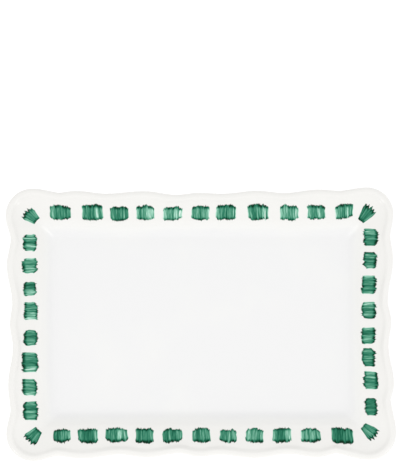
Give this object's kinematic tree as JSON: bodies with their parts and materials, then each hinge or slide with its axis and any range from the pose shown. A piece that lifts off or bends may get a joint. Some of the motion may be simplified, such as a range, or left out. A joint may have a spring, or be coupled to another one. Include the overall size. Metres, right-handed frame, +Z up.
{
  "type": "serving platter",
  "caption": "Rectangular china serving platter with a wavy raised lip, a shallow well, a low foot ring and a border of green hand-painted brush dabs.",
  "frame": {"origin": "on the table, under the middle of the platter's overall box", "axes": "+Z up out of the well, +X along the platter's length, +Y to its back"},
  "size_m": [0.406, 0.284, 0.026],
  "materials": {
    "clay": "fired clay body, matte, under the glaze",
    "bare_foot": "bare, unglazed fired clay, ground flat and matte",
    "face_glaze": "clear-white gloss glaze with a soft sheen",
    "back_glaze": "white gloss glaze, slightly thinner than the face",
    "green_paint": "brushed green ceramic colour, streaked, darker at the ends of the strokes, fired glossy"
  },
  "bodies": {
    "root": {"platter_body": "clay", "foot_ring": "bare_foot", "face_glaze": "face_glaze", "back_glaze": "back_glaze", "base_glaze": "back_glaze", "back_mark_1": "green_paint", "back_mark_2": "green_paint", "back_mark_3": "green_paint", "back_mark_4": "green_paint", "back_mark_5": "green_paint", "back_mark_6": "green_paint", "back_mark_7": "green_paint", "back_mark_8": "green_paint", "back_mark_9": "green_paint", "back_mark_10": "green_paint", "back_mark_11": "green_paint", "left_mark_1": "green_paint", "left_mark_2": "green_paint", "left_mark_3": "green_paint", "left_mark_4": "green_paint", "left_mark_5": "green_paint", "left_mark_6": "green_paint", "left_mark_7": "green_paint", "left_mark_8": "green_paint", "front_mark_1": "green_paint", "front_mark_2": "green_paint", "front_mark_3": "green_paint", "front_mark_4": "green_paint", "front_mark_5": "green_paint", "front_mark_6": "green_paint", "front_mark_7": "green_paint", "front_mark_8": "green_paint", "front_mark_9": "green_paint", "front_mark_10": "green_paint", "front_mark_11": "green_paint", "right_mark_1": "green_paint", "right_mark_2": "green_paint", "right_mark_3": "green_paint", "right_mark_4": "green_paint", "right_mark_5": "green_paint", "right_mark_6": "green_paint", "right_mark_7": "green_paint", "right_mark_8": "green_paint", "corner_fan_back_left": "green_paint", "corner_fan_front_left": "green_paint", "corner_fan_front_right": "green_paint", "corner_fan_back_right": "green_paint"}
  },
  "joints": []
}
